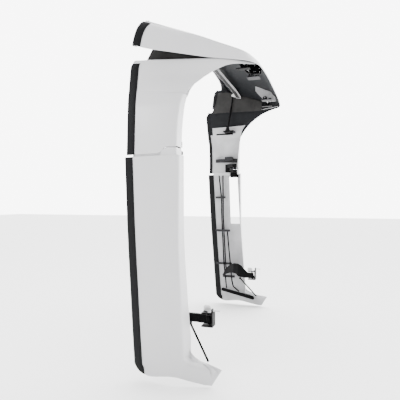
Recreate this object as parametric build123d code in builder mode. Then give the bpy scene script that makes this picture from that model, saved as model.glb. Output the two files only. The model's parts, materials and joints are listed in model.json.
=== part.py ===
"""Truck cab air deflector kit: a tilting roof flap, two roof wings, two upper side panels and two
lower side panels that swing outwards for service, with their trims, hinges, struts and frames.

Millimetres. +X is the vehicle's forward direction, +Y its left side and +Z up. The origin is the
middle of the four roof bolts, on the faces of the hinge pedestals that rest on the cab roof.
Pieces are drawn for the right side (-Y) and mirrored to the left.
"""
from build123d import *
from math import hypot
import os

os.makedirs("parts", exist_ok=True)

# ---------------------------------------------------------------- driving dimensions
SKIN = 5.0                # moulded glass-fibre skin
SEAM_Z = -800.0           # seam between the upper and the lower side panels
SEAM_GAP = 18.0
CREASE_Z = -245.0         # styling crease, where the roof wing meets the upper panel
FOOT_Z = -2629.0          # lowest point of the foot
TRIM_WIDTH = 66.0         # rubber edge trim, measured forwards from the rear edge
TRIM_WALL = 6.0

HINGE_X = 15.0            # flap hinge axis, parallel to Y
HINGE_Z = 38.0
PEDESTAL_Y = 745.0
PEDESTAL_BOLT_X = 42.0    # each pedestal has one bolt in front of the block and one behind it
ROOF_BOLT_R = 5.25

SHAFT_R = 7.0
FIT = 0.05                # radial running clearance of a pin or shaft in its hole

PIVOT_TOP = Vector(-486, -1085, -722)     # upper pivot of the right lower panel's hinge line
PIVOT_LOW = Vector(-236, -1030, -2172)    # lower pivot, in the arm's end block


# ---------------------------------------------------------------- helpers
def between(table, x):
    """Straight-line value at x from a table of (x, value) pairs in rising x."""
    if x <= table[0][0]:
        return table[0][1]
    for (x0, v0), (x1, v1) in zip(table, table[1:]):
        if x <= x1:
            return v0 + (v1 - v0) * (x - x0) / (x1 - x0)
    return table[-1][1]


def sheet_loop(points, thickness):
    """Closed outline of a bent sheet: the given line, then the same line moved to its left."""
    moved = []
    for i, (x, y) in enumerate(points):
        before = points[max(i - 1, 0)]
        after = points[min(i + 1, len(points) - 1)]
        first = (x - before[0], y - before[1]) if i else (after[0] - x, after[1] - y)
        last = (after[0] - x, after[1] - y) if i < len(points) - 1 else first
        normals = []
        for dx, dy in (first, last):
            length = hypot(dx, dy)
            normals.append((-dy / length, dx / length))
        nx, ny = normals[0][0] + normals[1][0], normals[0][1] + normals[1][1]
        size = hypot(nx, ny)
        nx, ny = nx / size, ny / size
        mitre = thickness / max(nx * normals[0][0] + ny * normals[0][1], 0.4)
        moved.append((x + nx * mitre, y + ny * mitre))
    return list(points) + moved[::-1]


def loft_loops(planes_and_loops):
    """Solid lofted through closed outlines, each on its own plane."""
    with BuildPart() as solid:
        for plane, loop in planes_and_loops:
            with BuildSketch(plane):
                with BuildLine():
                    Polyline(*loop, close=True)
                make_face()
        loft(ruled=True)
    return solid.part


def side_plane(y=0):
    """Plane seen from the right side: its x runs forwards and its y runs up."""
    return Plane(origin=(0, y, 0), x_dir=(1, 0, 0), z_dir=(0, -1, 0))


def front_plane(x):
    """Plane across the vehicle: its x runs to the left side (+Y) and its y runs up."""
    return Plane(origin=(x, 0, 0), x_dir=(0, 1, 0), z_dir=(1, 0, 0))


def side_slab(outline, y_from, y_to):
    """Side-view outline pulled across the vehicle from y_from to y_to."""
    with BuildPart() as slab:
        with BuildSketch(side_plane(y_to)):
            with BuildLine():
                Polyline(*outline, close=True)
            make_face()
        extrude(amount=y_to - y_from)
    return slab.part


def bar(start, end, radius):
    """Round bar between two points."""
    start, end = Vector(*start), Vector(*end)
    with BuildPart() as rod:
        with BuildSketch(Plane(origin=start, z_dir=(end - start).normalized())):
            Circle(radius)
        extrude(amount=(end - start).length)
    return rod.part


def tube_along(points, radius, corner):
    """Round bar along straight runs joined by tangent arcs."""
    with BuildPart() as tube:
        with BuildLine() as path:
            FilletPolyline(*points, radius=corner)
        with BuildSketch(Plane(origin=path.line @ 0, z_dir=path.line % 0)):
            Circle(radius)
        sweep()
    return tube.part


def finish(name, part):
    part.label = name
    export_step(part, "parts/" + name + ".step")


def finish_pair(name, right_part):
    """Write the right-hand piece, and its mirror image for the left side."""
    finish("right_" + name, right_part)
    with BuildPart() as left:
        mirror(right_part, about=Plane.XZ)
    finish("left_" + name, left.part)


# ---------------------------------------------------------------- lower side panel (right)
# Each level holds: z, rear edge x and half-width, fold x and half-width, return end x and half-width.
LOWER_LEVELS = [
    (-790, -900, 1250, -428, 1247, -422, 1140),
    (-1400, -870, 1262, -428, 1262, -418, 1145),
    (-1970, -833, 1272, -402, 1275, -384, 1150),
    (-2330, -808, 1279, -381, 1280, -355, 1155),
    (-2435, -800, 1281, -369, 1279, -352, 1160),
    (-2452, -799, 1281, -366, 1279, -335, 1170),
    (-2467, -798, 1281, -364, 1278, -219, 1205),
    (-2484, -797, 1281, -360, 1278, -111, 1232),
    (-2496, -797, 1281, -358, 1277, -70, 1240),
    (-2505, -796, 1281, -356, 1277, -50, 1243),
    (-2650, -786, 1281, -340, 1275, -30, 1243),
]


def lower_line(level):
    """Outer line of the lower panel's skin at one level, from its rear edge to its return's end."""
    z, rear_x, rear_h, fold_x, fold_h, end_x, end_h = level
    middle = ((rear_x + fold_x) / 2, -(rear_h + fold_h) / 2 - 11)
    near_fold = (fold_x - 46, -fold_h - 2)
    return [(rear_x, -rear_h), middle, near_fold, (fold_x - 14, -fold_h + 2),
            (fold_x, -fold_h + 16), (end_x, -end_h)]


LOWER_OUTLINE = [(-930, SEAM_Z - SEAM_GAP / 2), (-300, SEAM_Z - SEAM_GAP / 2 + 12), (0, -790),
                 (0, -2380), (-69, -2493), (-152, FOOT_Z), (-330, -2602), (-432, -2584),
                 (-500, -2583), (-660, -2602), (-719, -2590), (-770, -2560), (-800, -2515),
                 (-930, -2400)]

WINDOW_OUTLINE = [(-604, -838), (-486, -834), (-452, -1500), (-586, -1500)]


def lower_skin(with_window):
    skin = loft_loops([(Plane.XY.offset(level[0]), sheet_loop(lower_line(level), SKIN))
                       for level in LOWER_LEVELS])
    with BuildPart() as panel:
        add(skin)
        add(side_slab(LOWER_OUTLINE, -1400, -1000), mode=Mode.INTERSECT)
        if with_window:
            add(side_slab(WINDOW_OUTLINE, -1400, -1200), mode=Mode.SUBTRACT)
    return panel.part


finish("right_lower_panel", lower_skin(with_window=False))
with BuildPart() as left_lower_panel:
    mirror(lower_skin(with_window=True), about=Plane.XZ)
finish("left_lower_panel", left_lower_panel.part)


# ---------------------------------------------------------------- rubber edge trims (right)
def trim_channel(x, half, slope, inner_leg=TRIM_WIDTH / 2):
    """Channel that grips a panel's rear edge: outer leg, rounded back and inner leg.

    slope is how fast the panel's half-width grows forwards from its rear edge.
    """
    outside = TRIM_WALL + 0.6
    inside = -SKIN - 1.2
    shape = [(TRIM_WIDTH, outside), (TRIM_WIDTH, outside - TRIM_WALL), (-0.5, outside - TRIM_WALL),
             (-0.5, inside), (inner_leg, inside), (inner_leg, inside - TRIM_WALL),
             (-5, inside - TRIM_WALL), (-9, inside - 1), (-9, outside - 5), (-4, outside)]
    return [(x + dx, -half - slope * max(dx, 0) - out) for dx, out in shape]


def lower_slope(level):
    line = lower_line(level)
    return -(line[1][1] - line[0][1]) / (line[1][0] - line[0][0])


LOWER_TRIM_OUTLINE = [(-930, SEAM_Z - SEAM_GAP / 2 - 1), (-700, SEAM_Z - SEAM_GAP / 2 + 4),
                      (-700, -2300), (-714, -2585), (-774, -2558), (-806, -2512), (-930, -2500)]

with BuildPart() as lower_trim:
    add(loft_loops([(Plane.XY.offset(level[0]),
                     trim_channel(level[1], level[2], lower_slope(level), TRIM_WIDTH))
                    for level in LOWER_LEVELS]))
    add(side_slab(LOWER_TRIM_OUTLINE, -1400, -1100), mode=Mode.INTERSECT)
    add(lower_skin(False), mode=Mode.SUBTRACT)
finish_pair("lower_trim", lower_trim.part)

# ---------------------------------------------------------------- upper side panel (right)
UPPER_LEVELS = [
    (-812, -883, 1250, -450, 1247, -452, 1115),
    (-600, -881, 1246, -448, 1238, -446, 1115),
    (-410, -882, 1235, -438, 1212, -428, 1115),
    (-314, -890, 1212, -425, 1180, -409, 1108),
    (-240, -893, 1193, -400, 1145, -380, 1090),
]

# The upper panel's rim above the crease laps behind the roof wing.
LAP_LEVELS = [
    (-300, -820, 1200, -426, 1164, -402, 1100),
    (-245, -820, 1173, -416, 1121, -390, 1077),
    (-160, -820, 1146, -355, 1066, -335, 1048),
]

UPPER_OUTLINE = [(-930, SEAM_Z + SEAM_GAP / 2), (-595, SEAM_Z + SEAM_GAP / 2 + 8),
                 (-585, -772), (-572, -752), (-548, -736), (-520, -730), (-300, -728),
                 (-300, -290), (-402, -289), (-900, CREASE_Z - 1), (-930, CREASE_Z - 1)]


def upper_line(level, bulge=9, bend=16):
    """Outer line of the upper panel's skin at one level, from its rear edge to its return's end."""
    z, rear_x, rear_h, fold_x, fold_h, end_x, end_h = level
    middle = ((rear_x + fold_x) / 2, -(rear_h + fold_h) / 2 - bulge)
    return [(rear_x, -rear_h), middle, (fold_x - 46, -fold_h - 2), (fold_x - 14, -fold_h + 2),
            (fold_x, -fold_h + bend), (end_x, -end_h)]


with BuildPart() as upper_panel:
    add(loft_loops([(Plane.XY.offset(level[0]), sheet_loop(upper_line(level), SKIN))
                    for level in UPPER_LEVELS]))
    add(side_slab(UPPER_OUTLINE, -1400, -1000), mode=Mode.INTERSECT)
    add(loft_loops([(Plane.XY.offset(level[0]), sheet_loop(upper_line(level, 8, 10), SKIN))
                    for level in LAP_LEVELS]))
finish_pair("upper_panel", upper_panel.part)

# ---------------------------------------------------------------- roof wing (right)
# Stations along X: x, then half-widths at z -300, crease, -100, under the shoulder, shoulder and
# shelf end, then the height of the shelf on top.
WING_STATIONS = [
    (-900, 1205, 1193, 1160, 1136, 1124, 1088, 45),
    (-645, 1192, 1180, 1128, 1100, 1088, 1055, 40),
    (-400, 1152, 1140, 1087, 1070, 1058, 1025, 32),
    (-200, 1100, 1090, 1050, 1042, 1032, 1000, 24),
    (-60, 1030, 1020, 996, 990, 980, 948, 18),
    (60, 925, 920, 908, 904, 895, 865, 14),
    (130, 860, 857, 851, 848, 840, 812, 11),
]

WING_OUTLINE = [(-930, CREASE_Z + 1), (-900, CREASE_Z + 1), (-402, -287), (-397, -275),
                (-383, -250), (-343, -205), (-267, -136), (-189, -84), (-101, -38), (-51, -23),
                (8, -12), (84, -5), (124, 0), (130, 8), (126, 60), (-850, 60), (-884, 36),
                (-899, 0), (-930, -20)]


def wing_loop(station):
    x, h_low, h_crease, h_mid, h_under, h_shoulder, h_shelf, top = station
    return sheet_loop([(-h_shelf, top), (-h_shoulder, top), (-h_under, top - 22), (-h_mid, -100),
                       (-h_crease, CREASE_Z), (-h_low, -300)], SKIN)


with BuildPart() as roof_wing:
    add(loft_loops([(front_plane(station[0]), wing_loop(station)) for station in WING_STATIONS]))
    add(side_slab(WING_OUTLINE, -1400, -700), mode=Mode.INTERSECT)
finish_pair("roof_wing", roof_wing.part)

# z, rear edge x, half-width and slope of the upper panel and then of the wing above it.
UPPER_TRIM_LEVELS = [(-790, -883, 1250, 0.035), (-600, -881, 1246, 0.023),
                     (-410, -882, 1235, -0.011), (-314, -890, 1212, -0.03),
                     (-240, -893, 1193, -0.05), (-100, -898, 1161, -0.125),
                     (25, -900, 1138, -0.14)]
UPPER_TRIM_OUTLINE = [(-930, -790), (-700, -787), (-700, 20), (-800, 18), (-880, 18),
                      (-903, -10), (-930, -60)]

with BuildPart() as upper_trim:
    add(loft_loops([(Plane.XY.offset(z), trim_channel(x, half, slope))
                    for z, x, half, slope in UPPER_TRIM_LEVELS]))
    add(side_slab(UPPER_TRIM_OUTLINE, -1400, -1000), mode=Mode.INTERSECT)
    add(upper_panel.part, mode=Mode.SUBTRACT)
    add(roof_wing.part, mode=Mode.SUBTRACT)
finish_pair("upper_trim", upper_trim.part)

# ---------------------------------------------------------------- roof flap
# Stations along X: x, shoulder half-width and height, rise of the crown, skirt's half-width and z.
FLAP_STATIONS = [
    (-850, 1166, 392, 116, 1240, 90),
    (-600, 1120, 308, 110, 1185, 50),
    (-300, 1062, 210, 98, 1090, 10),
    (-65, 992, 125, 78, 1010, -10),
    (60, 938, 92, 54, 948, -14),
    (122, 886, 62, 36, 893, -16),
    (165, 770, 42, 24, 775, -14),
    (184, 500, 22, 12, 503, -10),
]
RIDGE = 0.76              # the soft ridge over each shoulder, as a share of the half-width

FLAP_OUTLINE = [(-840, 130), (-683, 92), (-537, 70), (-299, 34), (-181, 18), (-24, 11), (100, 4),
                (190, 0), (190, 600), (-676, 600)]
# Half-width and x of the trailing edge, which is cut forwards between the two rear fins.
FLAP_TRAILING = [(0, -600), (500, -606), (750, -614), (960, -636), (1060, -668), (1100, -695),
                 (1150, -757)]


def crown_share(t):
    """Height over the shoulder at t half-widths from the middle, as a share of the crown."""
    if t < RIDGE:
        return 1 - 0.35 * (t / RIDGE) ** 2
    return 0.65 * (1 - t) / (1 - RIDGE)


def flap_height(x, y):
    """Height of the flap's outer skin at (x, y)."""
    half = between([(s[0], s[1]) for s in FLAP_STATIONS], x)
    shoulder = between([(s[0], s[2]) for s in FLAP_STATIONS], x)
    crown = between([(s[0], s[3]) for s in FLAP_STATIONS], x)
    return shoulder + crown * crown_share(min(abs(y) / half, 1.0))


def flap_loop(station):
    x, half, shoulder, crown, skirt_half, skirt_z = station
    side = [(-skirt_half, skirt_z - 30), (-half - 0.22 * (skirt_half - half) - 4, shoulder - 40),
            (-half + 4, shoulder - 8)]
    top = [(-half * t, shoulder + crown * crown_share(t)) for t in (0.95, RIDGE, 0.5, 0.25)]
    right = side + top
    line = right + [(0, shoulder + crown)] + [(-y, z) for y, z in right[::-1]]
    return sheet_loop(line[::-1], SKIN)


with BuildPart() as flap_rear_cut:
    with BuildSketch(Plane.XY.offset(-100)):
        with BuildLine():
            edge = [(x, y) for y, x in FLAP_TRAILING]
            Polyline((-950, -1150), *[(x, -y) for x, y in edge[::-1]], *edge[1:], (-950, 1150),
                     close=True)
        make_face()
    extrude(amount=900)

with BuildPart() as flap_shell:
    add(loft_loops([(front_plane(station[0]), flap_loop(station)) for station in FLAP_STATIONS]))
    add(side_slab(FLAP_OUTLINE, -1400, 1400), mode=Mode.INTERSECT)
    add(flap_rear_cut.part, mode=Mode.SUBTRACT)
finish("flap_shell", flap_shell.part)

# Rubber trim on each rear fin: z, rear edge x, half-width and slope of the fin's skin.
FIN_TRIM_LEVELS = [(128, -834, 1230, -0.2), (250, -794, 1206, -0.19), (338, -766, 1184, -0.18)]

with BuildPart() as flap_fin_trim:
    add(loft_loops([(Plane.XY.offset(z), trim_channel(x, half, slope))
                    for z, x, half, slope in FIN_TRIM_LEVELS]))
    add(flap_shell.part, mode=Mode.SUBTRACT)
finish_pair("flap_fin_trim", flap_fin_trim.part)

# Trailing edge strip under the top skin, with a gusset that widens into each rear corner.
STRIP_WIDTH = [(0, 26), (750, 26), (900, 45), (1000, 95), (1040, 135)]
STRIP_DEPTH = 12.0


def strip_loop(y):
    start = between(FLAP_TRAILING, abs(y)) - 8
    end = start + between(STRIP_WIDTH, abs(y))
    top = [flap_height(x, y) - SKIN - 2.5 for x in (start, end)]
    return [(start, top[0]), (end, top[1]), (end, top[1] - STRIP_DEPTH),
            (start, top[0] - STRIP_DEPTH)]


STRIP_STATIONS = (-1040, -1000, -900, -750, -500, -250, 0, 250, 500, 750, 900, 1000, 1040)

with BuildPart() as flap_edge_strip:
    add(loft_loops([(side_plane(y), strip_loop(y)) for y in STRIP_STATIONS]))
finish("flap_edge_strip", flap_edge_strip.part)

# Inner side wall of the flap: x, half-width, lower edge and upper edge.
WALL_STATIONS = [(-810, 1064, 26, 300), (-600, 1040, 22, 300), (-400, 1013, 14, 238),
                 (-200, 988, 6, 160), (-100, 962, 2, 118)]
WALL_OUTLINE = [(-815, 20), (-745, 150), (-715, 300), (-600, 320), (-90, 320), (-90, -10),
                (-815, -10)]
WALL = 4.0

with BuildPart() as flap_inner_wall:
    add(loft_loops([(front_plane(x), [(-half, low), (-half, high), (-half + WALL, high),
                                      (-half + WALL, low)])
                    for x, half, low, high in WALL_STATIONS]))
    add(side_slab(WALL_OUTLINE, -1200, -800), mode=Mode.INTERSECT)
finish_pair("flap_inner_wall", flap_inner_wall.part)

# Cross channel that stiffens the flap: web at the rear, flange below, lip in front.
CHANNEL_WEB = 60.0
CHANNEL_FLANGE = 62.0
CHANNEL_END = 985.0
STRUT_Y = 1000.0
STRUT_LOW = (-562, -194)      # x, z of the strut's lower and upper pins
STRUT_TOP = (-492, 236)
STRUT_PIN_R = 5.0


def channel_loop(y):
    rear = -445 - 70 * (1 - (y / CHANNEL_END) ** 2)
    top = flap_height(rear + 30, y) - SKIN - 12
    return sheet_loop([(rear, top), (rear, top - CHANNEL_WEB),
                       (rear + CHANNEL_FLANGE, top - CHANNEL_WEB - 14),
                       (rear + CHANNEL_FLANGE, top - CHANNEL_WEB + 8)], WALL)


def strut_lug(outline, side, pin_x, pin_z):
    """Lug plate inboard of a strut, with the pin that carries the strut's eye."""
    inner, outer = sorted((side * (CHANNEL_END - 8), side * CHANNEL_END))
    with BuildPart() as lug:
        add(side_slab(outline, inner, outer))
        add(bar((pin_x, side * (CHANNEL_END - 4), pin_z), (pin_x, side * 1012, pin_z), STRUT_PIN_R))
        add(bar((pin_x, side * 1009, pin_z), (pin_x, side * 1013, pin_z), 9))
    return lug.part


CHANNEL_STATIONS = (-CHANNEL_END, -860, -740, -500, -250, 0, 250, 500, 740, 860, CHANNEL_END)
TOP_LUG = [(-441, 205), (-441, 262), (-484, 254), (-508, 240), (-506, 224), (-480, 214)]

with BuildPart() as flap_channel:
    add(loft_loops([(side_plane(y), channel_loop(y)) for y in CHANNEL_STATIONS]))
    for side in (-1, 1):
        add(strut_lug(TOP_LUG, side, *STRUT_TOP))
finish("flap_channel", flap_channel.part)

# ---------------------------------------------------------------- flap hinge (right)
with BuildPart() as hinge_pedestal:
    with BuildSketch():
        with Locations((0, -PEDESTAL_Y)):
            RectangleRounded(124, 58, 8)
        with Locations((-PEDESTAL_BOLT_X, -PEDESTAL_Y), (PEDESTAL_BOLT_X, -PEDESTAL_Y)):
            Circle(ROOF_BOLT_R, mode=Mode.SUBTRACT)
    extrude(amount=8)
    add(side_slab([(-20, 8), (33, 8), (36, 50), (28, 62), (0, 62), (-12, 48)],
                  -PEDESTAL_Y - 24, -PEDESTAL_Y + 24))
    add(bar((HINGE_X, -PEDESTAL_Y - 30, HINGE_Z), (HINGE_X, -PEDESTAL_Y + 30, HINGE_Z),
            SHAFT_R + FIT), mode=Mode.SUBTRACT)
finish_pair("hinge_pedestal", hinge_pedestal.part)

with BuildPart() as hinge_inner_foot:
    add(side_slab([(-12, 6), (42, 6), (40, 44), (30, 56), (2, 56), (-8, 44)], -462, -450))
    add(side_slab([(-20, 0), (100, 0), (100, 6), (-20, 6)], -500, -400))
    add(side_slab([(60, 6), (96, 6), (96, 22), (60, 22)], -480, -420))
    add(bar((HINGE_X, -470, HINGE_Z), (HINGE_X, -440, HINGE_Z), SHAFT_R + FIT),
        mode=Mode.SUBTRACT)
finish_pair("hinge_inner_foot", hinge_inner_foot.part)

with BuildPart() as hinge_shaft:
    add(bar((HINGE_X, -776, HINGE_Z), (HINGE_X, -436, HINGE_Z), SHAFT_R))
    add(bar((HINGE_X, -782, HINGE_Z), (HINGE_X, -776, HINGE_Z), 11))
finish_pair("hinge_shaft", hinge_shaft.part)

ARM_Y = 545.0
SCREW_R = 3.0
SCREW_PLACES = [(68, 30), (68, 84), (116, 24), (116, 58)]


def under_flap(x, y, gap=3):
    return flap_height(x, y) - SKIN - gap


with BuildPart() as hinge_arm:
    add(side_slab([(-112, 150), (-112, under_flap(-112, ARM_Y) - 4),
                   (0, under_flap(0, ARM_Y) - 4), (128, under_flap(128, ARM_Y) - 4), (128, 8),
                   (60, 10), (30, 20), (0, 22), (-14, 36)], -ARM_Y - 4, -ARM_Y + 4))
    add(loft_loops([(front_plane(x), [(-ARM_Y - 20, under_flap(x, ARM_Y + 20)),
                                      (-ARM_Y + 20, under_flap(x, ARM_Y - 20)),
                                      (-ARM_Y + 20, under_flap(x, ARM_Y - 20) - 5),
                                      (-ARM_Y - 20, under_flap(x, ARM_Y + 20) - 5)])
                    for x in (-112, -30, 60, 128)]))
    add(bar((HINGE_X, -ARM_Y - 22, HINGE_Z), (HINGE_X, -ARM_Y + 22, HINGE_Z), 17))
    add(bar((HINGE_X, -ARM_Y - 30, HINGE_Z), (HINGE_X, -ARM_Y + 30, HINGE_Z), SHAFT_R + FIT),
        mode=Mode.SUBTRACT)
    for x, z in SCREW_PLACES:
        add(bar((x, -ARM_Y - 10, z), (x, -ARM_Y + 10, z), SCREW_R + 0.3), mode=Mode.SUBTRACT)
finish_pair("hinge_arm", hinge_arm.part)

with BuildPart() as hinge_plate:
    add(side_slab([(55, 10), (130, 6), (130, 70), (55, 100)], -ARM_Y - 10, -ARM_Y - 5))
    for x, z in SCREW_PLACES:
        add(bar((x, -ARM_Y - 12, z), (x, -ARM_Y, z), SCREW_R + 0.3), mode=Mode.SUBTRACT)
finish_pair("hinge_plate", hinge_plate.part)

with BuildPart() as hinge_screws:
    for side in (-1, 1):
        for x, z in SCREW_PLACES:
            add(bar((x, side * (ARM_Y + 14), z), (x, side * (ARM_Y + 10.5), z), 6))
            add(bar((x, side * (ARM_Y + 11), z), (x, side * (ARM_Y - 9), z), SCREW_R))
finish("hinge_screws", hinge_screws.part)

# ---------------------------------------------------------------- flap strut (right)
STRUT_LENGTH = hypot(STRUT_TOP[0] - STRUT_LOW[0], STRUT_TOP[1] - STRUT_LOW[1])
TUBE_LENGTH = 285.0
ROD_OVERLAP = 110.0       # length of rod inside the tube at rest
ROD_R = 9.0
EYE_CLEARANCE = 2.2       # radial clearance of the rod's eye on the upper pin


def along_strut(distance, y=-STRUT_Y):
    share = distance / STRUT_LENGTH
    return (STRUT_LOW[0] + share * (STRUT_TOP[0] - STRUT_LOW[0]), y,
            STRUT_LOW[1] + share * (STRUT_TOP[1] - STRUT_LOW[1]))


def eye(x, z, hole):
    with BuildPart() as ring:
        add(bar((x, -STRUT_Y - 7, z), (x, -STRUT_Y + 7, z), 16))
        add(bar((x, -STRUT_Y - 9, z), (x, -STRUT_Y + 9, z), hole), mode=Mode.SUBTRACT)
    return ring.part


with BuildPart() as strut_tube:
    add(bar(along_strut(12), along_strut(TUBE_LENGTH), 13))
    add(bar(along_strut(60), along_strut(TUBE_LENGTH + 5), ROD_R + FIT), mode=Mode.SUBTRACT)
    add(eye(*STRUT_LOW, STRUT_PIN_R + FIT))
finish_pair("strut_tube", strut_tube.part)

with BuildPart() as strut_rod:
    add(bar(along_strut(TUBE_LENGTH - ROD_OVERLAP), along_strut(STRUT_LENGTH - 12), ROD_R))
    add(eye(*STRUT_TOP, STRUT_PIN_R + EYE_CLEARANCE))
finish_pair("strut_rod", strut_rod.part)

LOW_LUG = [(-600, -232), (-530, -232), (-548, -186), (-562, -180), (-576, -186)]

with BuildPart() as strut_foot:
    add(side_slab([(-620, -252), (-480, -252), (-480, -232), (-620, -232)], -1106, -970))
    add(side_slab([(-750, -268), (-520, -268), (-520, -252), (-750, -252)], -1124, -1084))
    add(strut_lug(LOW_LUG, -1, *STRUT_LOW))
finish_pair("strut_foot", strut_foot.part)

# ---------------------------------------------------------------- upper panel's inner pieces (right)
with BuildPart() as upper_rail:
    add(side_slab([(-790, -640), (-470, -640), (-470, -590), (-790, -590)], -1230, -1206))
    add(side_slab([(-648, -620), (-535, -620), (-535, -572), (-548, -565), (-648, -565)],
                  -1206, -1166))
finish_pair("upper_rail", upper_rail.part)

# ---------------------------------------------------------------- lower panel's hinge line (right)
LINE = (PIVOT_TOP - PIVOT_LOW).normalized()
LINE_PIN_R = 8.0


def on_line(z):
    """Point of the swing axis at height z."""
    point = PIVOT_LOW + LINE * ((z - PIVOT_LOW.Z) / LINE.Z)
    return (point.X, point.Y, point.Z)


def plan_slab(outline, z_from, z_to):
    with BuildPart() as slab:
        with BuildSketch(Plane.XY.offset(z_from)):
            with BuildLine():
                Polyline(*outline, close=True)
            make_face()
        extrude(amount=z_to - z_from)
    return slab.part


with BuildPart() as upper_pivot:
    add(plan_slab([(-640, -1226), (-506, -1226), (-506, -1104), (-462, -1102), (-462, -1066),
                   (-514, -1062), (-610, -1150), (-640, -1160)], -722, -672))
    add(plan_slab([(-640, -1226), (-588, -1226), (-588, -1158), (-640, -1160)], -782, -722))
    add(bar(on_line(-700), on_line(-744), 15))
    add(bar(on_line(-688), on_line(-792), LINE_PIN_R))
finish_pair("upper_pivot", upper_pivot.part)

with BuildPart() as swing_hinge_arm:
    add(plan_slab([(-578, -1232), (-490, -1232), (-490, -1116), (-456, -1106), (-456, -1062),
                   (-502, -1060), (-556, -1110), (-578, -1170)], -784, -754))
    add(side_slab([(-578, -850), (-490, -850), (-490, -784), (-578, -784)], -1232, -1200))
    add(side_slab([(-574, -850), (-574, -786), (-562, -768), (-542, -757), (-520, -754),
                   (-470, -754), (-470, -850)], -1240, -1232))
    add(bar(on_line(-700), on_line(-830), LINE_PIN_R + FIT), mode=Mode.SUBTRACT)
finish_pair("swing_hinge_arm", swing_hinge_arm.part)

# ---------------------------------------------------------------- lower panel's tube frame (right)
TUBE_R = 9.5

with BuildPart() as rear_tube:
    add(tube_along([(-740, -1205, -822), (-704, -1205, -1140), (-702, -1205, -1377),
                    (-670, -1205, -2046), (-632, -1205, -2402)], TUBE_R, 60))
finish_pair("rear_tube", rear_tube.part)

with BuildPart() as front_tube:
    add(tube_along([(-684, -1205, -822), (-680, -1205, -1377), (-646, -1205, -2046),
                    (-628, -1205, -2200)], TUBE_R, 60))
finish_pair("front_tube", front_tube.part)

with BuildPart() as brace_tube:
    add(tube_along([(-616, -1188, -1610), (-576, -1188, -2030), (-552, -1188, -2290),
                    (-532, -1188, -2370), (-452, -1188, -2434)], TUBE_R, 50))
finish_pair("brace_tube", brace_tube.part)

BRACKETS = [(-788, -655, -1145, -1117, -1192), (-782, -590, -1610, -1582, -1176),
            (-790, -560, -2075, -2047, -1218), (-690, -520, -2254, -2226, -1218)]

with BuildPart() as tube_brackets:
    for x_rear, x_front, z_low, z_high, y_inner in BRACKETS:
        add(side_slab([(x_rear, z_low), (x_front, z_low), (x_front, z_high), (x_rear, z_high)],
                      -1240, y_inner))
    for tube in (rear_tube, front_tube, brace_tube):
        add(tube.part, mode=Mode.SUBTRACT)
finish_pair("tube_brackets", tube_brackets.part)

with BuildPart() as foot_bar:
    add(side_slab([(-708, -2440), (-704, -2408), (-690, -2404), (-250, -2500), (-244, -2536),
                   (-262, -2540), (-700, -2444)], -1235, -1207))
    for x, z in ((-690, -2424), (-262, -2519)):
        add(bar((x, -1208, z), (x, -1199, z), 9))
finish_pair("foot_bar", foot_bar.part)

# ---------------------------------------------------------------- swing arm and its end block (right)
LEFT_ARM_OUTLINE = [(-690, -2215), (-676, -2201), (-633, -2123), (-590, -2080), (-548, -2049),
                    (-492, -2026), (-436, -2023), (-380, -2048), (-339, -2094), (-298, -2134),
                    (-222, -2136), (-222, -2206), (-330, -2206), (-422, -2194), (-458, -2164),
                    (-492, -2156), (-530, -2158), (-562, -2167), (-619, -2191), (-640, -2215)]
RIGHT_ARM_OUTLINE = [(-690, -2215), (-676, -2201), (-655, -2130), (-620, -2085), (-580, -2052),
                     (-540, -2040), (-500, -2052), (-465, -2090), (-435, -2131), (-298, -2134),
                     (-222, -2136), (-222, -2206), (-332, -2206), (-435, -2203), (-475, -2180),
                     (-510, -2160), (-545, -2160), (-575, -2170), (-619, -2191), (-640, -2215)]
ARM_LINE = [(-690, -1180), (-600, -1122), (-500, -1046), (-430, -1012), (-340, -1006),
            (-236, -1018)]


def swing_arm(outline):
    with BuildPart() as arm:
        add(side_slab(outline, -1400, -900))
        add(plan_slab(sheet_loop(ARM_LINE, -22), -2300, -1900), mode=Mode.INTERSECT)
        add(bar(on_line(-2206), on_line(-2136), 22))
        add(bar(on_line(-2260), on_line(-2080), LINE_PIN_R + FIT), mode=Mode.SUBTRACT)
    return arm.part


finish("right_swing_arm", swing_arm(RIGHT_ARM_OUTLINE))
with BuildPart() as left_swing_arm:
    mirror(swing_arm(LEFT_ARM_OUTLINE), about=Plane.XZ)
finish("left_swing_arm", left_swing_arm.part)

LEVER_X, LEVER_Y = -226, -1052
LOCK_Y, LOCK_Z = -1062, -2088
LOCK_R = 6.0
LOCK_TIP_R = 5.5
BLOCK_BOLT_Y, BLOCK_BOLT_Z = -1006, -2172
BLOCK_BOLT_PITCH = 60.0
BLOCK_BOLT_R = 5.5

with BuildPart() as end_block:
    add(side_slab([(-290, -2120), (-196, -2120), (-196, -2108), (-290, -2108)], -1080, -990))
    add(side_slab([(-290, -2226), (-196, -2226), (-196, -2214), (-290, -2214)], -1080, -990))
    add(side_slab([(-204, -2226), (-192, -2226), (-192, -2108), (-204, -2108)], -1080, -990))
    add(side_slab([(-204, -2108), (-192, -2108), (-192, -2074), (-204, -2074)], -1078, -1046))
    add(bar(on_line(-2216), on_line(-2118), LINE_PIN_R))
    add(bar((LEVER_X, LEVER_Y, -2110), (LEVER_X, LEVER_Y, -2101), 5))
    add(bar((-210, LOCK_Y, LOCK_Z), (-184, LOCK_Y, LOCK_Z), LOCK_R + FIT), mode=Mode.SUBTRACT)
    for z in (BLOCK_BOLT_Z - BLOCK_BOLT_PITCH / 2, BLOCK_BOLT_Z + BLOCK_BOLT_PITCH / 2):
        add(bar((-210, BLOCK_BOLT_Y, z), (-184, BLOCK_BOLT_Y, z), BLOCK_BOLT_R), mode=Mode.SUBTRACT)
finish_pair("end_block", end_block.part)

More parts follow.
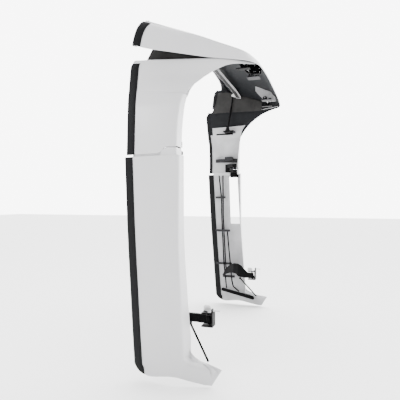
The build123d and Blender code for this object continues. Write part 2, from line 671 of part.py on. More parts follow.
with BuildPart() as latch_lever:
    add(plan_slab([(-238, -1066), (-214, -1066), (-210, -1040), (-228, -990), (-295, -990),
                   (-295, -1000), (-242, -1030)], -2107, -2101))
    add(side_slab([(-295, -2101), (-228, -2101), (-232, -2070), (-246, -2064), (-284, -2064),
                   (-293, -2074)], -997, -990))
    add(bar((LEVER_X, LEVER_Y, -2120), (LEVER_X, LEVER_Y, -2090), 5 + FIT), mode=Mode.SUBTRACT)
finish_pair("latch_lever", latch_lever.part)

with BuildPart() as lock_pin:
    add(bar((-212, LOCK_Y, LOCK_Z), (-184, LOCK_Y, LOCK_Z), LOCK_R))
    add(bar((-184, LOCK_Y, LOCK_Z), (-132, LOCK_Y, LOCK_Z), LOCK_TIP_R))
finish_pair("lock_pin", lock_pin.part)

with BuildPart() as stay_rod:
    add(bar((-402, -1030, -2218), (-204, -1158, -2476), 9))
    add(bar((-402, -1044, -2218), (-402, -1016, -2218), 13))
finish_pair("stay_rod", stay_rod.part)
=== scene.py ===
import json
import math

import bmesh
import bpy
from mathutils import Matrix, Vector


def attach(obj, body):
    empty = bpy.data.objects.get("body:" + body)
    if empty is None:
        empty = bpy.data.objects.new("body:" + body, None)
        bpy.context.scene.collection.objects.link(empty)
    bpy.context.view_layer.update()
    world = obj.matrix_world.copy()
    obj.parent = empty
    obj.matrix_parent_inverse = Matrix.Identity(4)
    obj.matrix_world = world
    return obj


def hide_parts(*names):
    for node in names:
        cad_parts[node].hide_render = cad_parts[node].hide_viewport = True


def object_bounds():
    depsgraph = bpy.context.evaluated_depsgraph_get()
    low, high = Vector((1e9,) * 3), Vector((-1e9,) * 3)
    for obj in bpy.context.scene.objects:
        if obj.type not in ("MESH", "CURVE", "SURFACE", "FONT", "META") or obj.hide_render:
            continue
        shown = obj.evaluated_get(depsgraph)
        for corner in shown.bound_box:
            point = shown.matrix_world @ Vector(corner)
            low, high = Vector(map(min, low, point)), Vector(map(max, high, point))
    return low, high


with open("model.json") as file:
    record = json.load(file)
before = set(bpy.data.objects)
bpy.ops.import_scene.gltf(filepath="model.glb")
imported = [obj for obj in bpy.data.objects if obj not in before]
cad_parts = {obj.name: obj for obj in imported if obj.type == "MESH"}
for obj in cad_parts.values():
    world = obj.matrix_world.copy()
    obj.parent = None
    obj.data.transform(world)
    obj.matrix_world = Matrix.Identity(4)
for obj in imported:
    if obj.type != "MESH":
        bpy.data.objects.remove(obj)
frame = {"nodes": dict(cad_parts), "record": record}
cad_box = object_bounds()
nodes = frame["nodes"]

# Lengths are millimetres, with +X forwards, +Y to the left side and +Z up, as in the frame.
# Tables are drawn for the right side (-Y) and mirrored for the left one.
MM = 0.001
SKIN = 5.0                # thickness of the moulded skins
SIDES = (("right", -1), ("left", 1))


# ---------------------------------------------------------------- materials
def material(name, colour, roughness, metallic=0.0, coat=0.0, grain=60.0, spread=0.06,
             bump=0.0, bump_scale=400.0, rough_spread=0.12, shine=0.5):
    """Principled material whose colour and roughness vary softly over the surface."""
    made = bpy.data.materials.new(name)
    made.use_nodes = True
    tree = made.node_tree
    shader = tree.nodes["Principled BSDF"]
    shader.inputs["Metallic"].default_value = metallic
    shader.inputs["Coat Weight"].default_value = coat
    shader.inputs["Coat Roughness"].default_value = 0.25
    shader.inputs["Specular IOR Level"].default_value = shine
    place = tree.nodes.new("ShaderNodeTexCoord")
    noise = tree.nodes.new("ShaderNodeTexNoise")
    noise.inputs["Scale"].default_value = grain
    noise.inputs["Detail"].default_value = 6.0
    tree.links.new(place.outputs["Object"], noise.inputs["Vector"])
    tone = tree.nodes.new("ShaderNodeValToRGB")
    tone.color_ramp.elements[0].position = 0.3
    tone.color_ramp.elements[1].position = 0.7
    tone.color_ramp.elements[0].color = [c * (1 - spread) for c in colour] + [1]
    tone.color_ramp.elements[1].color = [min(c * (1 + spread), 1) for c in colour] + [1]
    tree.links.new(noise.outputs["Fac"], tone.inputs["Fac"])
    tree.links.new(tone.outputs["Color"], shader.inputs["Base Color"])
    rough = tree.nodes.new("ShaderNodeMapRange")
    rough.inputs["To Min"].default_value = max(roughness - rough_spread / 2, 0.02)
    rough.inputs["To Max"].default_value = min(roughness + rough_spread / 2, 1)
    tree.links.new(noise.outputs["Fac"], rough.inputs["Value"])
    tree.links.new(rough.outputs["Result"], shader.inputs["Roughness"])
    if bump:
        fine = tree.nodes.new("ShaderNodeTexNoise")
        fine.inputs["Scale"].default_value = bump_scale
        fine.inputs["Detail"].default_value = 4.0
        tree.links.new(place.outputs["Object"], fine.inputs["Vector"])
        relief = tree.nodes.new("ShaderNodeBump")
        relief.inputs["Strength"].default_value = bump
        relief.inputs["Distance"].default_value = 0.002
        tree.links.new(fine.outputs["Fac"], relief.inputs["Height"])
        tree.links.new(relief.outputs["Normal"], shader.inputs["Normal"])
    return made


GELCOAT = material("gelcoat_paint", (0.53, 0.53, 0.54), 0.36, coat=0.3, grain=1.6, spread=0.03)
INNER_LIGHT = material("inner_light_laminate", (0.42, 0.42, 0.43), 0.7, grain=7, spread=0.12,
                       bump=0.5, bump_scale=90)
INNER_DARK = material("inner_dark_laminate", (0.0085, 0.0092, 0.0105), 0.6, grain=9, spread=0.25,
                      bump=0.4, bump_scale=110, shine=0.1)
BARE = material("bare_moulding", (0.022, 0.0215, 0.021), 0.65, grain=10, spread=0.22, bump=0.3,
                bump_scale=120, shine=0.15)
RUBBER = material("edge_rubber", (0.0025, 0.0027, 0.0033), 0.5, grain=30, spread=0.2, bump=0.25,
                  bump_scale=600, shine=0.12)
BLACK = material("black_coat", (0.0012, 0.0012, 0.0015), 0.45, grain=40, spread=0.2, bump=0.15,
                 shine=0.06)
GREY = material("grey_coat", (0.022, 0.022, 0.024), 0.5, grain=30, spread=0.12, bump=0.15,
                shine=0.15)
CAST = material("cast_aluminium", (0.42, 0.42, 0.43), 0.5, metallic=0.5, grain=50, spread=0.1,
                bump=0.5, bump_scale=500)
ZINC = material("zinc_plate", (0.55, 0.55, 0.55), 0.32, metallic=0.9, grain=45, spread=0.08,
                bump=0.1)
SLOT_LOOK = {"gelcoat": GELCOAT, "bare_moulding": BARE, "edge_rubber": RUBBER,
             "black_steel": BLACK, "grey_steel": GREY, "light_casting": CAST,
             "bright_steel": ZINC}


# ---------------------------------------------------------------- curves and meshes
def smooth_at(table, x):
    """Smooth value at x from (x, value) pairs in rising x, with no overshoot between pairs."""
    if x <= table[0][0]:
        return table[0][1]
    if x >= table[-1][0]:
        return table[-1][1]
    gaps = [b[0] - a[0] for a, b in zip(table, table[1:])]
    rises = [(b[1] - a[1]) / gap for (a, b), gap in zip(zip(table, table[1:]), gaps)]
    slopes = [rises[0]]
    for left, right in zip(rises, rises[1:]):
        slopes.append(0.0 if left * right <= 0 else 2 * left * right / (left + right))
    slopes.append(rises[-1])
    i = max(k for k in range(len(gaps)) if table[k][0] <= x)
    t = (x - table[i][0]) / gaps[i]
    return (table[i][1] * (1 + 2 * t) * (1 - t) ** 2 + table[i + 1][1] * t * t * (3 - 2 * t)
            + slopes[i] * gaps[i] * t * (1 - t) ** 2 - slopes[i + 1] * gaps[i] * t * t * (1 - t))


def straight_at(table, x):
    """Straight-line value at x from (x, value) pairs in rising x."""
    if x <= table[0][0]:
        return table[0][1]
    for (x0, v0), (x1, v1) in zip(table, table[1:]):
        if x <= x1:
            return v0 + (v1 - v0) * (x - x0) / (x1 - x0)
    return table[-1][1]


def along(points, count):
    """count points evenly spaced in arc length on a smooth curve through the points."""
    keys = [0.0]
    for a, b in zip(points, points[1:]):
        keys.append(keys[-1] + (Vector(b) - Vector(a)).length)
    tables = [list(zip(keys, [p[k] for p in points])) for k in range(len(points[0]))]
    return [Vector([smooth_at(table, keys[-1] * i / (count - 1)) for table in tables])
            for i in range(count)]


def add_mesh(name, vertices, faces, looks, body):
    """Mesh piece in millimetres that rides on a CAD body."""
    mesh = bpy.data.meshes.new(name)
    mesh.from_pydata([Vector(v) * MM for v in vertices], [], faces)
    mesh.polygons.foreach_set("use_smooth", [True] * len(mesh.polygons))
    mesh.update()
    piece = bpy.data.objects.new(name, mesh)
    bpy.context.scene.collection.objects.link(piece)
    for look in looks:
        mesh.materials.append(look)
    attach(piece, body)
    return piece


def grid_faces(rows, columns, wrap=False):
    faces = []
    last = columns if wrap else columns - 1
    for r in range(rows - 1):
        for c in range(last):
            d = (c + 1) % columns
            faces.append((r * columns + c, r * columns + d, (r + 1) * columns + d,
                          (r + 1) * columns + c))
    return faces


def skin(name, grid, looks, body, flip=False, thickness=SKIN):
    """Moulded skin of even thickness behind a grid of outer points, with eased rims."""
    rows, columns = len(grid), len(grid[0])
    faces = grid_faces(rows, columns)
    if flip:
        faces = [face[::-1] for face in faces]
    piece = add_mesh(name, [p for row in grid for p in row], faces, looks, body)
    wall = piece.modifiers.new("wall", "SOLIDIFY")
    wall.thickness = thickness * MM
    wall.offset = -1
    wall.use_even_offset = False
    wall.material_offset = 1 if len(looks) > 1 else 0
    wall.material_offset_rim = 0
    ease = piece.modifiers.new("ease", "BEVEL")
    ease.width = 1.3 * MM
    ease.segments = 2
    ease.limit_method = "ANGLE"
    ease.angle_limit = math.radians(50)
    ease.harden_normals = True
    return piece


def mirrored(points, side):
    """Points drawn for the right side, moved to the side asked for."""
    return [(p[0], -side * p[1], p[2]) for p in points]


# ---------------------------------------------------------------- side panels
SEAM_LOW = -809.0         # upper end of the lower panel at its rear edge
LOWER_LEVELS = [
    (-790, -900, 1250, -428, 1247, -422, 1140),
    (-1400, -870, 1262, -428, 1262, -418, 1145),
    (-1970, -833, 1272, -402, 1275, -384, 1150),
    (-2330, -808, 1279, -381, 1280, -355, 1155),
    (-2435, -800, 1281, -369, 1279, -352, 1160),
    (-2452, -799, 1281, -366, 1279, -335, 1170),
    (-2467, -798, 1281, -364, 1278, -219, 1205),
    (-2484, -797, 1281, -360, 1278, -111, 1232),
    (-2496, -797, 1281, -358, 1277, -70, 1240),
    (-2505, -796, 1281, -356, 1277, -50, 1243),
    (-2650, -786, 1281, -340, 1275, -30, 1243),
]
LOWER_BOTTOM = [(-930, -2300), (-800, -2515), (-770, -2560), (-719, -2590), (-660, -2602),
                (-500, -2583), (-432, -2584), (-330, -2602), (-152, -2629), (-69, -2493),
                (0, -2380)]
LOWER_TOP = [(-930, -809), (-300, -797)]
UPPER_LEVELS = [
    (-812, -883, 1250, -450, 1247, -452, 1115),
    (-600, -881, 1246, -448, 1238, -446, 1115),
    (-410, -882, 1235, -438, 1212, -428, 1115),
    (-314, -890, 1212, -425, 1180, -409, 1108),
    (-240, -893, 1193, -400, 1145, -380, 1090),
]
UPPER_BOTTOM = [(-930, -791), (-595, -783), (-585, -772), (-572, -752), (-548, -736),
                (-520, -730), (-300, -728)]
UPPER_TOP = [(-930, -246), (-900, -246), (-402, -289), (-300, -290)]
# The upper panel's rim above the crease laps behind the roof wing.
LAP_LEVELS = [
    (-300, -820, 1200, -426, 1164, -402, 1100),
    (-245, -820, 1173, -416, 1121, -390, 1077),
    (-160, -820, 1146, -355, 1066, -335, 1048),
]


WINDOW_OUTLINE = [(-604, -838), (-486, -834), (-452, -1500), (-586, -1500)]
LOWER_BULGE, LOWER_BEND = 11, 24       # bow of the face, and reach of the rounded fold
UPPER_BULGE, UPPER_BEND = 9, 22


def panel_section(levels, z, bulge, bend, flat=14, turn=7, back=5):
    """Outer line of a side panel at height z: rear edge, bowed face, rounded fold, return."""
    ordered = sorted(levels)
    rear_x, rear_h, fold_x, fold_h, end_x, end_h = [
        smooth_at([(level[0], level[k]) for level in ordered], z) for k in range(1, 7)]
    rear, fold, end = Vector((rear_x, rear_h)), Vector((fold_x, fold_h)), Vector((end_x, end_h))
    reach = (end - fold).length
    start = fold + (rear - fold).normalized() * bend
    stop = fold + (end - fold).normalized() * min(bend, reach / 2)
    line = []
    for i in range(flat):
        t = i / flat
        line.append(rear.lerp(start, t) + Vector((0, bulge * 4 * t * (1 - t))))
    for i in range(turn + 1):
        t = i / turn
        line.append(start * (1 - t) ** 2 + fold * 2 * t * (1 - t) + stop * t * t)
    for i in range(1, back + 1):
        line.append(stop.lerp(end, i / back))
    return [(p.x, -p.y) for p in line]


def panel_grid(levels, top, bottom, rows, bulge, bend):
    """Grid of outer points between a top and a bottom outline, both heights against x."""
    z_high = max(v for x, v in top)
    z_low = min(v for x, v in bottom)
    steps = 240
    crowding = 1.5                     # rows stand closer together near the foot
    sections = [z_high + (z_low - z_high) * i / steps for i in range(steps + 1)]
    lines = [panel_section(levels, z, bulge, bend) for z in sections]
    grid = [[] for _ in range(rows)]
    for c in range(len(lines[0])):
        column = [(line[c][0], line[c][1], z) for line, z in zip(lines, sections)]
        above = [p[2] - straight_at(top, p[0]) for p in column]
        below = [p[2] - straight_at(bottom, p[0]) for p in column]
        first = next(i for i, gap in enumerate(above) if gap <= 0)
        last = next((i for i, gap in enumerate(below) if gap < 0), steps)
        start = cross(column, above, first)
        stop = cross(column, below, last)
        for r in range(rows):
            z = start + (stop - start) * (1 - (1 - r / (rows - 1)) ** crowding)
            k = min(max((z - z_high) / (z_low - z_high) * steps, 0), steps - 1e-6)
            i = int(k)
            a, b = column[i], column[i + 1]
            grid[r].append(tuple(a[j] + (b[j] - a[j]) * (k - i) for j in range(2)) + (z,))
    return grid


def cross(column, gaps, index):
    """Height where a column passes from one side of an outline to the other."""
    if index == 0:
        return column[0][2]
    a, b = gaps[index - 1], gaps[index]
    share = a / (a - b) if a != b else 0.0
    return column[index - 1][2] + (column[index][2] - column[index - 1][2]) * min(max(share, 0), 1)


def place(grid, side):
    return [mirrored(row, side) if side > 0 else row for row in grid]


LOWER_GRID = panel_grid(LOWER_LEVELS, LOWER_TOP, LOWER_BOTTOM, 90, LOWER_BULGE, LOWER_BEND)
UPPER_GRID = panel_grid(UPPER_LEVELS, UPPER_TOP, UPPER_BOTTOM, 44, UPPER_BULGE, UPPER_BEND)
LAP_GRID = panel_grid(LAP_LEVELS, [(-900, -160), (-300, -160)], [(-900, -300), (-300, -300)],
                      14, 8, 12)


def window_cutter(body):
    """Four-sided prism through the left lower panel's intake window."""
    vertices = [(x, y, z) for y in (1150, 1350) for x, z in WINDOW_OUTLINE]
    faces = [(0, 1, 2, 3), (7, 6, 5, 4)] + [(i, i + 4, (i + 1) % 4 + 4, (i + 1) % 4)
                                            for i in range(4)]
    cutter = add_mesh("window_cutter", vertices, faces, [], body)
    solid = bmesh.new()
    solid.from_mesh(cutter.data)
    bmesh.ops.recalc_face_normals(solid, faces=solid.faces)
    solid.to_mesh(cutter.data)
    solid.free()
    cutter.hide_render = True
    cutter.display_type = "WIRE"
    return cutter


def side_panels():
    for name, side in SIDES:
        swing = name + "_swing_panel"
        lower = skin(name + "_lower_skin", place(LOWER_GRID, side), [GELCOAT, INNER_LIGHT],
                     swing, flip=side < 0)
        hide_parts(name + "_lower_panel")
        if side > 0:
            cut = lower.modifiers.new("window", "BOOLEAN")
            cut.object = window_cutter(swing)
            cut.solver = "EXACT"
            lower.modifiers.move(2, 1)     # cut the window before the rims are eased
        upper = skin(name + "_upper_skin", place(UPPER_GRID, side), [GELCOAT, INNER_LIGHT],
                     "mounting_side", flip=side < 0)
        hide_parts(name + "_upper_panel")
        lap = skin(name + "_lap_skin", place(LAP_GRID, side), [INNER_LIGHT, INNER_LIGHT],
                   "mounting_side", flip=side < 0)
        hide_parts(name + "_upper_panel")


side_panels()

# ---------------------------------------------------------------- roof wings
WING_STATIONS = [
    (-900, 1205, 1193, 1160, 1136, 1124, 1088, 45),
    (-645, 1192, 1180, 1128, 1100, 1088, 1055, 40),
    (-400, 1152, 1140, 1087, 1070, 1058, 1025, 32),
    (-200, 1100, 1090, 1050, 1042, 1032, 1000, 24),
    (-60, 1030, 1020, 996, 990, 980, 948, 18),
    (60, 925, 920, 908, 904, 895, 865, 14),
    (130, 860, 857, 851, 848, 840, 812, 11),
]
WING_BOTTOM = [(-930, -244), (-900, -244), (-402, -287), (-397, -275), (-383, -250),
               (-343, -205), (-267, -136), (-189, -84), (-101, -38), (-51, -23), (8, -12),
               (84, -5), (124, 0), (130, 4)]
WING_REAR = [(-300, -900), (-5, -899), (30, -886), (60, -862)]     # x of the rear edge by height


def wing_point(x, v):
    """Outer point of the wing at x; v runs from 0 at the shelf's end to 1 at the lower edge."""
    low, crease, mid, under, shoulder, shelf, top = [
        smooth_at([(s[0], s[k]) for s in WING_STATIONS], x) for k in range(1, 8)]
    bottom = straight_at(WING_BOTTOM, x)
    shelf_share = 0.2
    if v < shelf_share:
        t = v / shelf_share
        return (x, -(shelf + (shoulder - shelf) * t), top)
    round_share = 0.4
    if v < round_share:
        t = (v - shelf_share) / (round_share - shelf_share)
        a, b, c = (shoulder, top), (under, top), (under, top - 22)
        h = a[0] * (1 - t) ** 2 + b[0] * 2 * t * (1 - t) + c[0] * t * t
        z = a[1] * (1 - t) ** 2 + b[1] * 2 * t * (1 - t) + c[1] * t * t
        return (x, -h, max(z, bottom + 1))
    t = (v - round_share) / (1 - round_share)
    z = (top - 22) + (bottom - top + 22) * t
    if top - 22 <= bottom:
        z = bottom + 1 - t
    face = [(-300, low), (-245, crease), (-100, mid), (top - 22, under)]
    return (x, -smooth_at(face, z), z)


def wing_grid(rows=34, columns=90):
    grid = []
    for r in range(rows):
        v = r / (rows - 1)
        row = []
        for c in range(columns):
            x = -900 + (126 + 900) * c / (columns - 1)
            z = wing_point(x, v)[2]
            rear = straight_at(WING_REAR, z)
            row.append(wing_point(rear + (126 - rear) * c / (columns - 1), v))
        grid.append(row)
    return grid


WING_GRID = wing_grid()
for name, side in SIDES:
    wing = skin(name + "_wing_skin", place(WING_GRID, side), [GELCOAT, INNER_DARK],
                "mounting_side", flip=side < 0)
    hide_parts(name + "_roof_wing")

# ---------------------------------------------------------------- roof flap
FLAP_STATIONS = [
    (-850, 1166, 392, 116),
    (-600, 1120, 308, 110),
    (-300, 1062, 210, 98),
    (-65, 992, 125, 78),
    (60, 938, 92, 54),
    (122, 886, 62, 36),
    (165, 770, 42, 24),
    (184, 500, 22, 12),
]
RIDGE = 0.76              # the soft ridge over each shoulder, as a share of the half-width
# Half-width and x of the trailing edge, which is cut forwards between the two rear fins.
FLAP_TRAILING = [(0, -600), (500, -606), (750, -614), (960, -636), (1060, -668), (1100, -695),
                 (1140, -745)]
# Right half of the lower edge and of the shoulder over it, from the rear fin to the middle.
LOWER_EDGE = [(-838, -1239, 130), (-683, -1205, 92), (-537, -1163, 70), (-299, -1090, 34),
              (-181, -1052, 20), (-24, -990, 12), (60, -946, 8), (122, -884, 5),
              (160, -770, 3), (176, -500, 2), (180, -250, 2), (180, 0, 2)]
SHOULDER = [(-765, -1150, 360), (-600, -1120, 308), (-470, -1096, 266), (-299, -1062, 210),
            (-181, -1030, 168), (-40, -984, 120), (40, -942, 94), (90, -872, 76),
            (126, -750, 60), (146, -490, 46), (152, -245, 48), (152, 0, 50)]


def crown_share(t):
    """Height over the shoulder at t half-widths from the middle, as a share of the crown."""
    if t < RIDGE:
        return 1 - 0.35 * (t / RIDGE) ** 2
    return 0.65 * (1 - t) / (1 - RIDGE)


def flap_height(x, y):
    """Height of the flap's outer skin at (x, y)."""
    half, shoulder, crown = [smooth_at([(s[0], s[k]) for s in FLAP_STATIONS], x)
                             for k in (1, 2, 3)]
    t = min(abs(y) / half, 1.0)
    ease = 0.06                        # softens the ridge over the shoulder
    shares = [crown_share(min(max(t + d, 0), 1)) for d in (-ease, 0, ease)]
    return shoulder + crown * (shares[0] + 2 * shares[1] + shares[2]) / 4


def whole(points):
    """Right half's points followed by their mirror images, from right to left."""
    return points + [(x, -y, z) for x, y, z in points[-2::-1]]


def flap_grid(columns=151, skirt_rows=9, top_rows=34):
    """Outer points of the flap: up its skirt to the shoulder, then back to the trailing edge."""
    edge = along(whole(LOWER_EDGE), columns)
    brow = along(whole(SHOULDER), columns)
    width = max(abs(p.y) for p in brow)
    grid = []
    for r in range(skirt_rows):
        t = r / skirt_rows
        row = []
        for low, high in zip(edge, brow):
            # The skirt leans in slowly and then turns over the shoulder.
            turn = Vector((low.x + 0.16 * (high.x - low.x), low.y + 0.22 * (high.y - low.y),
                           high.z - 14))
            p = low * (1 - t) ** 2 + turn * 2 * t * (1 - t) + high * t * t
            flat = low.lerp(high, t)
            row.append(tuple(p.lerp(flat, 0.25)))
        grid.append(row)
    for r in range(top_rows):
        t = (r / (top_rows - 1)) ** 1.15
        row = []
        for high in brow:
            y = high.y * (1 - t) + (high.y / width * FLAP_TRAILING[-1][0]) * t
            x = high.x + (smooth_at(FLAP_TRAILING, abs(y)) - high.x) * t
            z = flap_height(x, y)
            fade = max(0.0, 1 - t / 0.10)
            row.append((x, y, z + (high.z - z) * fade ** 2))
        grid.append(row)
    return grid


FLAP_GRID = flap_grid()
flap = skin("flap_skin", FLAP_GRID, [GELCOAT, INNER_DARK], "flap")
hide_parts("flap_shell")


# ---------------------------------------------------------------- edge trims
TRIM_WIDTH, TRIM_WALL = 66.0, 6.0


def trim_profile(inner_leg=TRIM_WIDTH / 2):
    """(forwards, outwards) points of the channel that grips a panel's rear edge."""
    outside = TRIM_WALL + 0.8
    inside = -SKIN - 1.4
    return [(TRIM_WIDTH, 0.6), (TRIM_WIDTH, outside - 2.5), (TRIM_WIDTH - 3, outside - 0.4),
            (TRIM_WIDTH / 2, outside), (2, outside), (-4, outside - 0.8), (-8, outside - 4),
            (-9, 0), (-9, inside + 1), (-7, inside - TRIM_WALL + 2), (-4, inside - TRIM_WALL),
            (inner_leg, inside - TRIM_WALL), (inner_leg, inside), (0, inside),
            (-1, inside + 1), (-1, 0), (0, 0.6)]


def trim(name, node, body, stations, side, inner_leg=TRIM_WIDTH / 2):
    """Channel swept along a skin's rear edge.

    Each station is (edge point, direction into the skin, outward normal, share of the width).
    """
    profile = trim_profile(inner_leg)
    vertices = []
    for point, ahead, out, share in stations:
        for forward, outward in profile:
            reach = forward * share if forward > 0 else forward
            vertices.append(point + ahead * reach + out * outward)
    vertices = mirrored(vertices, side) if side > 0 else vertices
    count = len(profile)
    faces = grid_faces(len(stations), count, wrap=True)
    faces += [tuple(range(count))[::-1],
              tuple((len(stations) - 1) * count + i for i in range(count))]
    if side < 0:
        faces = [face[::-1] for face in faces]
    piece = add_mesh(name, vertices, faces, [RUBBER], body)
    edge = piece.modifiers.new("sharp", "EDGE_SPLIT")
    edge.split_angle = math.radians(38)
    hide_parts(node)
    return piece


def station(x, half, slope, z, share=1.0):
    """Trim station on a side panel's rear edge, where the half-width grows by slope forwards."""
    ahead = Vector((1, -slope, 0)).normalized()
    return (Vector((x, -half, z)), ahead, Vector((ahead.y, -ahead.x, 0)), share)


HEEL = [(2512, 0), (2558, 28), (2575, 50), (2586, 80)]     # depth, shift forwards


def lower_trim_line():
    rows = []
    for k in range(100):
        z = SEAM_LOW - 1 - (2586 + SEAM_LOW) * k / 99
        line = panel_section(LOWER_LEVELS, z, LOWER_BULGE, LOWER_BEND)
        x, half = line[0][0], -line[0][1]
        slope = (-line[2][1] + line[0][1]) / (line[2][0] - line[0][0])
        # Below the straight part the edge follows the foot's rounded heel and the band narrows.
        shift = straight_at(HEEL, -z)
        rows.append(station(x + shift, half + slope * shift, slope, z,
                            max(0.04, min(1.0, (-712 - x - shift) / TRIM_WIDTH))))
    return rows


UPPER_TRIM = [(-790, -883, 1250, 0.05), (-600, -881, 1246, 0.04), (-410, -882, 1235, 0.0),
              (-314, -890, 1212, -0.02), (-240, -893, 1193, -0.04), (-100, -898, 1161, -0.115),
              (-20, -900, 1142, -0.13), (14, -890, 1131, -0.14)]


def upper_trim_line():
    return [station(*[smooth_at([(level[0], level[i]) for level in UPPER_TRIM], z)
                      for i in (1, 2, 3)], z)
            for z in [-790 + 804 * k / 59 for k in range(60)]]


def fin_trim_line():
    """Stations up the flap's right rear fin, on the skirt's first column."""
    rows = []
    for row in FLAP_GRID[:9]:
        point, ahead = Vector(row[0]), (Vector(row[5]) - Vector(row[0])).normalized()
        up = (Vector(FLAP_GRID[9][0]) - Vector(FLAP_GRID[0][0])).normalized()
        rows.append((point, ahead, ahead.cross(up).normalized(), 0.95))
    return rows


for name, side in SIDES:
    trim(name + "_lower_edge", name + "_lower_trim", name + "_swing_panel",
         lower_trim_line()[::-1], side, TRIM_WIDTH)
    trim(name + "_upper_edge", name + "_upper_trim", "mounting_side", upper_trim_line(), side)
    trim(name + "_fin_edge", name + "_flap_fin_trim", "flap", fin_trim_line(), side)


# ---------------------------------------------------------------- small moulded details
BUMP_REAR = [(-814, -584), (-776, -583), (-757, -571), (-745, -554), (-739, -536)]  # z, x
BUMP_ROWS, BUMP_COLUMNS = 16, 44
BUMP_RECESS = (-1.5, 2.0)      # x and y shift of the cover behind the upper panel's face


def bump_cover(name, side):
    """Painted skin over the swing hinge arm, wrapped round the fold and recessed a little."""
    low, high = BUMP_REAR[0][0], BUMP_REAR[-1][0]
    grid = []
    for k in range(BUMP_ROWS):
        z = low + (high - low) * k / (BUMP_ROWS - 1)
        rear = smooth_at(BUMP_REAR, z)
        line = panel_section(UPPER_LEVELS, z, UPPER_BULGE, UPPER_BEND, flat=60)
        line = [(rear, straight_at(line[:60], rear))] + [p for p in line if p[0] > rear]
        keys = [0.0]
        for a, b in zip(line, line[1:]):
            keys.append(keys[-1] + math.dist(a, b))
        row = []
        for c in range(BUMP_COLUMNS):
            at = keys[-1] * c / (BUMP_COLUMNS - 1)
            x, y = [straight_at(list(zip(keys, [p[i] for p in line])), at) for i in (0, 1)]
            row.append((x + BUMP_RECESS[0], y + BUMP_RECESS[1], z))
        grid.append(row)
    cover = skin(name + "_bump_cover", place(grid, side), [GELCOAT, INNER_LIGHT],
                 name + "_swing_panel", flip=side > 0)
    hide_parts(name + "_lower_panel")


SEAL_HALF = 5.0               # half the width of the window's seal
SEAL_LIFT = 1.5               # how far the seal stands out of the panel


def window_seal():
    """Thin rubber ring round the intake window, on the outer face of the left lower panel."""
    middle_x, middle_z = -532, -1168
    steps = 24                # along each side of the window
    outer, inner = [[(x + math.copysign(offset, x - middle_x), z + math.copysign(offset, z - middle_z))
                     for x, z in WINDOW_OUTLINE] for offset in (SEAL_HALF, -SEAL_HALF)]
    vertices, faces = [], []
    for k in range(4):
        for i in range(steps):
            for ring in (outer, inner):
                a, b = Vector(ring[k]), Vector(ring[(k + 1) % 4])
                x, z = a.lerp(b, i / steps)
                line = panel_section(LOWER_LEVELS, z, LOWER_BULGE, LOWER_BEND)
                half = -straight_at(line[:16], x)
                vertices += [(x, half - SKIN - 2.5, z), (x, half + SEAL_LIFT, z)]
    for i in range(4 * steps):
        a, b = 4 * i, 4 * ((i + 1) % (4 * steps))
        faces += [(a, b, b + 1, a + 1), (a + 1, b + 1, b + 3, a + 3),
                  (a + 3, b + 3, b + 2, a + 2), (a + 2, b + 2, b, a)]
    add_mesh("left_window_seal", vertices, faces, [RUBBER], "left_swing_panel")


def bead(name, points, radius, look, body, squeeze=1.0):
    """Half-sunk round bead along points, tapering to nothing at both ends."""
    ring = 10
    vertices = []
    for i, point in enumerate(points):
        t = i / (len(points) - 1)
        thick = radius * min(1.0, 8 * min(t, 1 - t) + 0.02)
        ahead = (points[min(i + 1, len(points) - 1)] - points[max(i - 1, 0)]).normalized()
        out = Vector((0, 1, 0))
        up = ahead.cross(out).normalized()
        for k in range(ring):
            a = 2 * math.pi * k / ring
            vertices.append(point + up * thick * math.cos(a) + out * thick * squeeze * math.sin(a))
    faces = grid_faces(len(points), ring, wrap=True)
    faces += [tuple(range(ring))[::-1], tuple((len(points) - 1) * ring + i for i in range(ring))]
    return add_mesh(name, vertices, faces, [look], body)


# x from and to, and z from and to, of each flange behind the seam.
SEAM_PATCHES = [(-836, -572, -780, -822), (-606, -566, -738, -784), (-574, -458, -700, -737)]
FLANGE_DEPTH, FLANGE_THICK = 9.0, 2.5


def seam_backing(name, side):
    """Flanges inside the upper panel's lower edge, seen through the seam."""
    for k, (x_rear, x_front, z_high, z_low) in enumerate(SEAM_PATCHES):
        grid = []
        for r in range(5):
            z = z_high + (z_low - z_high) * r / 4
            line = panel_section(UPPER_LEVELS, z, UPPER_BULGE, UPPER_BEND, flat=60)[:62]
            grid.append([(x, straight_at(line, x) + FLANGE_DEPTH, z)
                         for x in [x_rear + (x_front - x_rear) * c / 24 for c in range(25)]])
        skin(f"{name}_seam_flange_{k}", place(grid, side), [GELCOAT, INNER_LIGHT],
             "mounting_side", flip=side > 0, thickness=FLANGE_THICK)


CHANNEL_END = 985.0           # half-length of the flap's cross channel
CHANNEL_BOW = 70.0            # how far its middle bows rearwards
# piece, look, slot, then x from and to and depth from and to, off the web's top rear corner.
CHANNEL_STRIPS = [("flange", BARE, "bare_moulding", 4, 60, 61, 75),
                  ("lip", GELCOAT, "gelcoat", 60, 68, 75, 53)]


def channel_dressing():
    """Bare flange and white lip along the front of the flap's cross channel."""
    reach, gap = 972.0, 3.0
    for label, look, slot_name, x_from, x_to, deep_from, deep_to in CHANNEL_STRIPS:
        rows = []
        for k in range(61):
            y = -reach + 2 * reach * k / 60
            rear = -445 - CHANNEL_BOW * (1 - (y / CHANNEL_END) ** 2)
            top = flap_height(rear + 30, y) - SKIN - 12 - gap
            rows.append([(rear + x_from + (x_to - x_from) * t, y,
                          top - deep_from - (deep_to - deep_from) * t) for t in (0, 0.5, 1)])
        skin("channel_" + label, rows, [look], "flap", flip=True, thickness=2.0)


def crease_beads():
    """Soft bead along the crease between each upper panel and the wing above it."""
    for name, side in SIDES:
        points = []
        for k in range(40):
            x = -825 + 410 * k / 39
            z = straight_at(UPPER_TOP, x) + 1
            at = wing_point(x, 1.0)
            points.append(Vector((x, side * (-at[1] - 1.5), z)))
        bead(name + "_crease_bead", points, 6.5, GELCOAT, "mounting_side", 0.5)


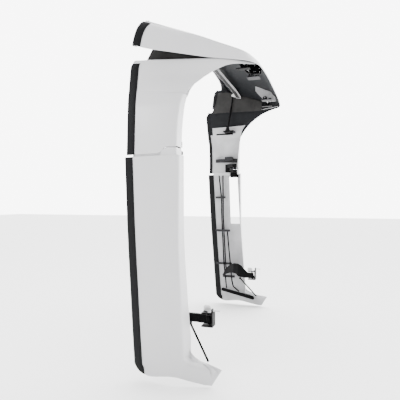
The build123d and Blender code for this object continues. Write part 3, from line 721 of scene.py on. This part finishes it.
BOSS_X, BOSS_Z = -775, -470
BOSS_RADII = (34, 62, 92)


def pressed_boss():
    """Concentric pressed rings on the inside of each upper panel."""
    for name, side in SIDES:
        for k, radius in enumerate(BOSS_RADII):
            points = []
            for i in range(49):
                a = -0.55 * math.pi + 1.1 * math.pi * i / 48
                x, z = BOSS_X + radius * math.cos(a), BOSS_Z + radius * math.sin(a)
                line = panel_section(UPPER_LEVELS, z, UPPER_BULGE, UPPER_BEND)
                half = smooth_at([(p[0], -p[1]) for p in line[:14]], x)
                points.append(Vector((x, side * (half - SKIN - 0.5), z)))
            bead(f"{name}_boss_ring_{k}", points, 4.5, INNER_LIGHT, "mounting_side",
                 0.6)


for name, side in SIDES:
    bump_cover(name, side)
    seam_backing(name, side)
channel_dressing()
window_seal()
crease_beads()
pressed_boss()


# ---------------------------------------------------------------- finish of the CAD nodes
def dress_cad_nodes():
    """Looks and eased edges for every CAD node, by its slot in the record."""
    for entry in frame["record"]["subparts"]:
        node = nodes[entry["node"]]
        look = SLOT_LOOK[entry["material_slot"]]
        if not node.material_slots:
            node.data.materials.append(look)
        for spot in node.material_slots:
            spot.material = look
        weld = node.modifiers.new("weld", "WELD")
        weld.merge_threshold = 0.00001
        ease = node.modifiers.new("ease", "BEVEL")
        ease.width = 1.2 * MM
        ease.segments = 2
        ease.limit_method = "ANGLE"
        ease.angle_limit = math.radians(42)
        ease.harden_normals = False


dress_cad_nodes()


# ---------------------------------------------------------------- stage, light and camera
def studio_gradient(tree):
    """Even white studio, brighter behind the object than in front of it."""
    direction = tree.nodes.new("ShaderNodeTexCoord")
    split = tree.nodes.new("ShaderNodeSeparateXYZ")
    tree.links.new(direction.outputs["Generated"], split.inputs["Vector"])
    depth = tree.nodes.new("ShaderNodeMapRange")
    depth.interpolation_type = "SMOOTHSTEP"
    depth.inputs["From Min"].default_value = -0.4
    depth.inputs["From Max"].default_value = 0.6
    depth.inputs["To Min"].default_value = 1.3
    depth.inputs["To Max"].default_value = 8.0
    tree.links.new(split.outputs["Y"], depth.inputs["Value"])
    tree.links.new(depth.outputs["Result"], tree.nodes["Background"].inputs["Strength"])
    tree.nodes["Background"].inputs["Color"].default_value = (1, 1, 1, 1)


def build_stage():
    bpy.ops.mesh.primitive_plane_add(size=60, location=(0, 0, cad_box[0][2] - 0.004))
    floor = bpy.context.object
    floor.name = "floor"
    pale = bpy.data.materials.new("pale_floor")
    pale.use_nodes = True
    pale.node_tree.nodes["Principled BSDF"].inputs["Base Color"].default_value = (0.9, 0.9, 0.9, 1)
    pale.node_tree.nodes["Principled BSDF"].inputs["Roughness"].default_value = 0.9
    floor.data.materials.append(pale)
    world = bpy.data.worlds.new("studio")
    bpy.context.scene.world = world
    world.use_nodes = True
    studio_gradient(world.node_tree)
    for name, place_at, aim, size, power in (
            ("key", (-4.0, -6.0, 2.4), (-0.4, 0, -1.0), 2.5, 260),
            ("fill", (4.5, -3.0, 0.5), (0, 0.2, -1.0), 3.0, 30),
            ("top", (-0.5, 0, 4.5), (-0.4, 0, 0), 3.0, 110)):
        light = bpy.data.lights.new(name, "AREA")
        light.size = size
        light.energy = power
        lamp = bpy.data.objects.new(name, light)
        lamp.location = place_at
        lamp.rotation_euler = (Vector(aim) - Vector(place_at)).to_track_quat("-Z", "Y").to_euler()
        bpy.context.scene.collection.objects.link(lamp)


def build_camera():
    lens = bpy.data.cameras.new("camera")
    lens.lens = 36.0
    lens.sensor_width = 36.0
    camera = bpy.data.objects.new("camera", lens)
    camera.location = (0.708, -4.266, -1.167)
    camera.rotation_euler = (math.radians(90), 0, math.radians(17.56))
    bpy.context.scene.collection.objects.link(camera)
    bpy.context.scene.camera = camera


build_stage()
build_camera()
